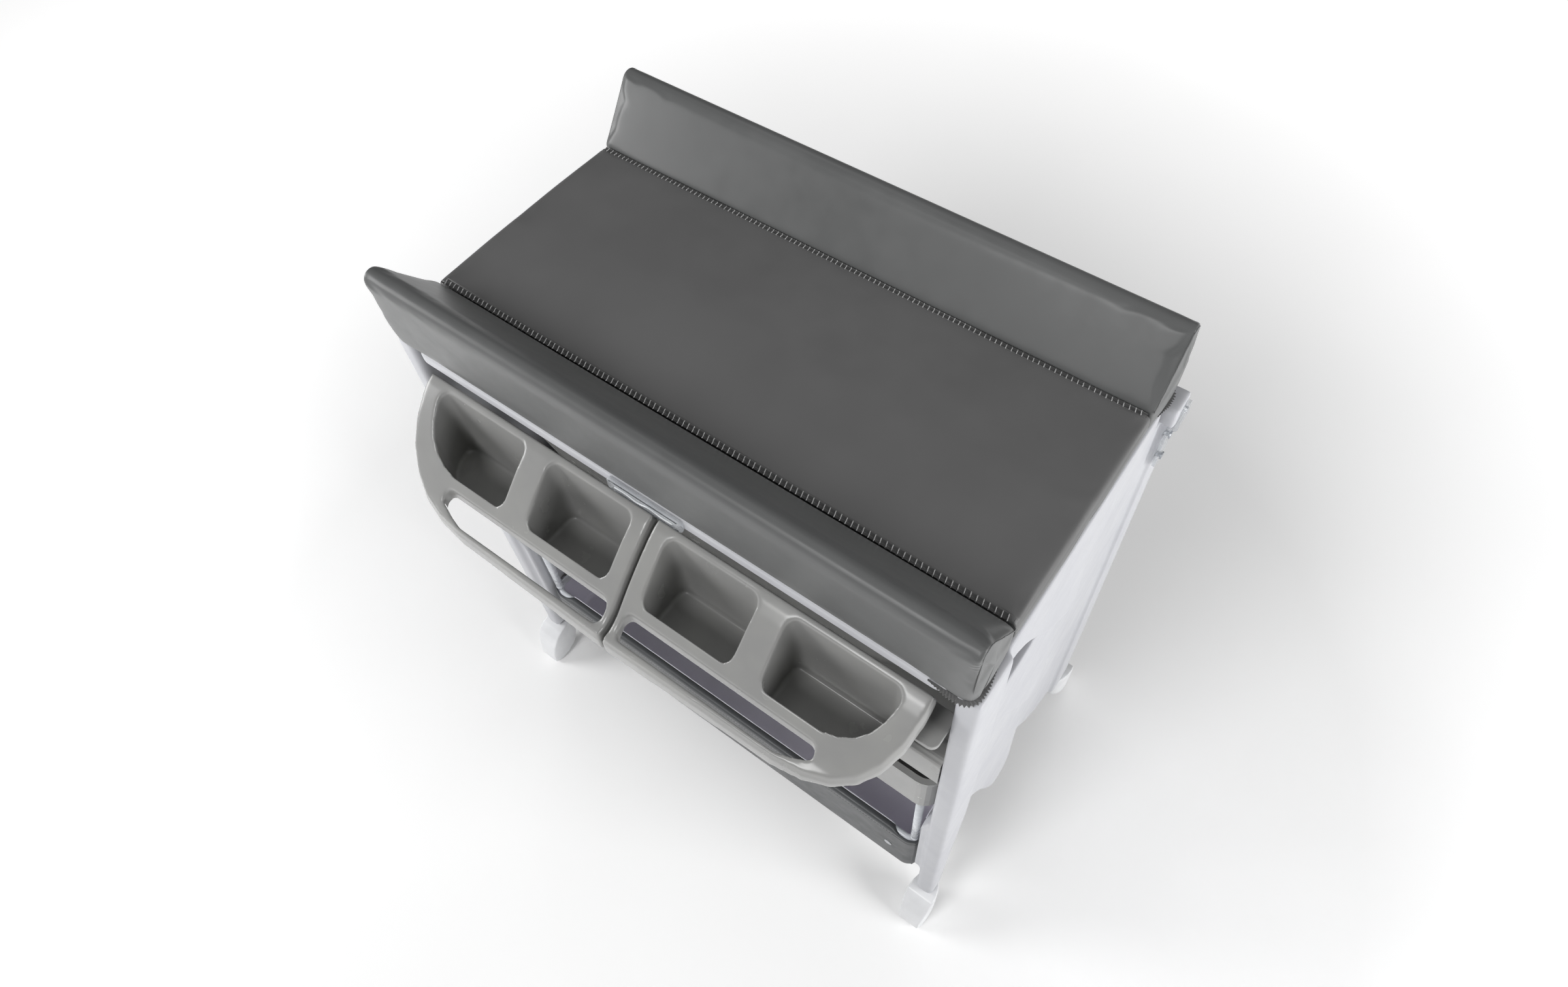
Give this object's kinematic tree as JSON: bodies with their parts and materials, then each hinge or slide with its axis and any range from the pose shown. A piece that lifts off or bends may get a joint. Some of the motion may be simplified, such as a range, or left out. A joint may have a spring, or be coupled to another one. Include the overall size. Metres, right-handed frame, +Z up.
{
  "type": "changing table with bathtub",
  "caption": "Nursery changing table on castors: padded lift-up top over a bath, swing-out trays in front, a moulded shelf and a hanging basket between moulded side panels.",
  "frame": {"origin": "on the floor at the middle of the table's footprint, castors and trays included", "axes": "+X along the front to the right, +Y from front to back, +Z up"},
  "size_m": [0.8426, 0.6116, 1.0043],
  "materials": {
    "white_plastic": "white moulded plastic, satin",
    "grey_plastic": "warm grey moulded plastic, satin",
    "clear_plastic": "clear moulded plastic",
    "castor_plastic": "milky white moulded plastic",
    "wheel_tread": "grey soft plastic tread",
    "white_steel": "white powder coat",
    "zinc_steel": "zinc plated",
    "mat_vinyl": "smooth dark grey coated cloth",
    "wedge_vinyl": "smooth mid grey coated cloth",
    "basket_vinyl": "grey coated cloth"
  },
  "bodies": {
    "root": {"side_panel_left": "white_plastic", "side_panel_right": "white_plastic", "front_beam": "grey_plastic", "rear_beam": "grey_plastic", "storage_shelf": "grey_plastic", "front_post_left": "white_steel", "front_post_right": "white_steel", "rear_post_left": "white_steel", "rear_post_right": "white_steel", "basket_frame": "white_steel", "basket": "basket_vinyl", "basket_snap_left": "white_plastic", "basket_snap_right": "white_plastic", "bath_rail_left": "white_steel", "bath_rail_right": "white_steel", "bath_tub": "grey_plastic", "drain_plug": "grey_plastic", "hinge_pin_left": "zinc_steel", "hinge_pin_right": "zinc_steel", "hinge_strap_left": "clear_plastic", "hinge_strap_right": "clear_plastic", "upper_strap_screw_left": "zinc_steel", "upper_strap_screw_right": "zinc_steel", "lower_strap_screw_left": "zinc_steel", "lower_strap_screw_right": "zinc_steel", "tray_lug_left": "white_plastic", "tray_lug_right": "white_plastic", "tray_pin_left": "zinc_steel", "tray_pin_right": "zinc_steel", "castor_stem_front_left": "zinc_steel", "castor_stem_front_right": "zinc_steel", "castor_stem_rear_left": "zinc_steel", "castor_stem_rear_right": "zinc_steel"},
    "changing_top": {"changing_board": "white_plastic", "top_latch": "clear_plastic", "mat_pad": "mat_vinyl", "front_wedge": "wedge_vinyl", "back_wedge": "wedge_vinyl"},
    "swing_tray_left": {"tray_left": "grey_plastic"},
    "swing_tray_right": {"tray_right": "grey_plastic"},
    "castor_front_left": {"castor_hood_front_left": "castor_plastic", "castor_axle_front_left": "zinc_steel"},
    "wheel_front_left": {"castor_wheel_front_left": "wheel_tread"},
    "castor_front_right": {"castor_hood_front_right": "castor_plastic", "castor_axle_front_right": "zinc_steel"},
    "wheel_front_right": {"castor_wheel_front_right": "wheel_tread"},
    "castor_rear_left": {"castor_hood_rear_left": "castor_plastic", "castor_axle_rear_left": "zinc_steel"},
    "wheel_rear_left": {"castor_wheel_rear_left": "wheel_tread"},
    "brake_left": {"brake_lever_left": "grey_plastic"},
    "castor_rear_right": {"castor_hood_rear_right": "castor_plastic", "castor_axle_rear_right": "zinc_steel"},
    "wheel_rear_right": {"castor_wheel_rear_right": "wheel_tread"},
    "brake_right": {"brake_lever_right": "grey_plastic"}
  },
  "joints": [
    {"name": "top_lift", "type": "hinge", "parent": "root", "child": "changing_top", "pos_m": [0, 0.2617, 0.864], "axis": [-1, 0, 0], "range_deg": [0, 95]},
    {"name": "left_tray_swing", "type": "hinge", "parent": "root", "child": "swing_tray_left", "pos_m": [-0.345, -0.1983, 0.8], "axis": [0, 0, -1], "range_deg": [0, 90]},
    {"name": "right_tray_swing", "type": "hinge", "parent": "root", "child": "swing_tray_right", "pos_m": [0.345, -0.1983, 0.8], "axis": [0, 0, 1], "range_deg": [0, 90]},
    {"name": "front_left_swivel", "type": "hinge", "parent": "root", "child": "castor_front_left", "pos_m": [-0.3945, -0.1683, 0.05], "axis": [0, 0, 1], "continuous": true},
    {"name": "front_left_roll", "type": "hinge", "parent": "castor_front_left", "child": "wheel_front_left", "pos_m": [-0.3945, -0.1913, 0.026], "axis": [1, 0, 0], "continuous": true},
    {"name": "front_right_swivel", "type": "hinge", "parent": "root", "child": "castor_front_right", "pos_m": [0.3945, -0.1683, 0.05], "axis": [0, 0, 1], "continuous": true},
    {"name": "front_right_roll", "type": "hinge", "parent": "castor_front_right", "child": "wheel_front_right", "pos_m": [0.3945, -0.1913, 0.026], "axis": [1, 0, 0], "continuous": true},
    {"name": "rear_left_swivel", "type": "hinge", "parent": "root", "child": "castor_rear_left", "pos_m": [-0.3945, 0.2457, 0.05], "axis": [0, 0, 1], "continuous": true},
    {"name": "rear_left_roll", "type": "hinge", "parent": "castor_rear_left", "child": "wheel_rear_left", "pos_m": [-0.3945, 0.2687, 0.026], "axis": [1, 0, 0], "continuous": true},
    {"name": "left_brake_press", "type": "hinge", "parent": "castor_rear_left", "child": "brake_left", "pos_m": [-0.3945, 0.2727, 0.068], "axis": [-1, 0, 0], "range_deg": [0, 12]},
    {"name": "rear_right_swivel", "type": "hinge", "parent": "root", "child": "castor_rear_right", "pos_m": [0.3945, 0.2457, 0.05], "axis": [0, 0, 1], "continuous": true},
    {"name": "rear_right_roll", "type": "hinge", "parent": "castor_rear_right", "child": "wheel_rear_right", "pos_m": [0.3945, 0.2687, 0.026], "axis": [1, 0, 0], "continuous": true},
    {"name": "right_brake_press", "type": "hinge", "parent": "castor_rear_right", "child": "brake_right", "pos_m": [0.3945, 0.2727, 0.068], "axis": [-1, 0, 0], "range_deg": [0, 12]}
  ]
}
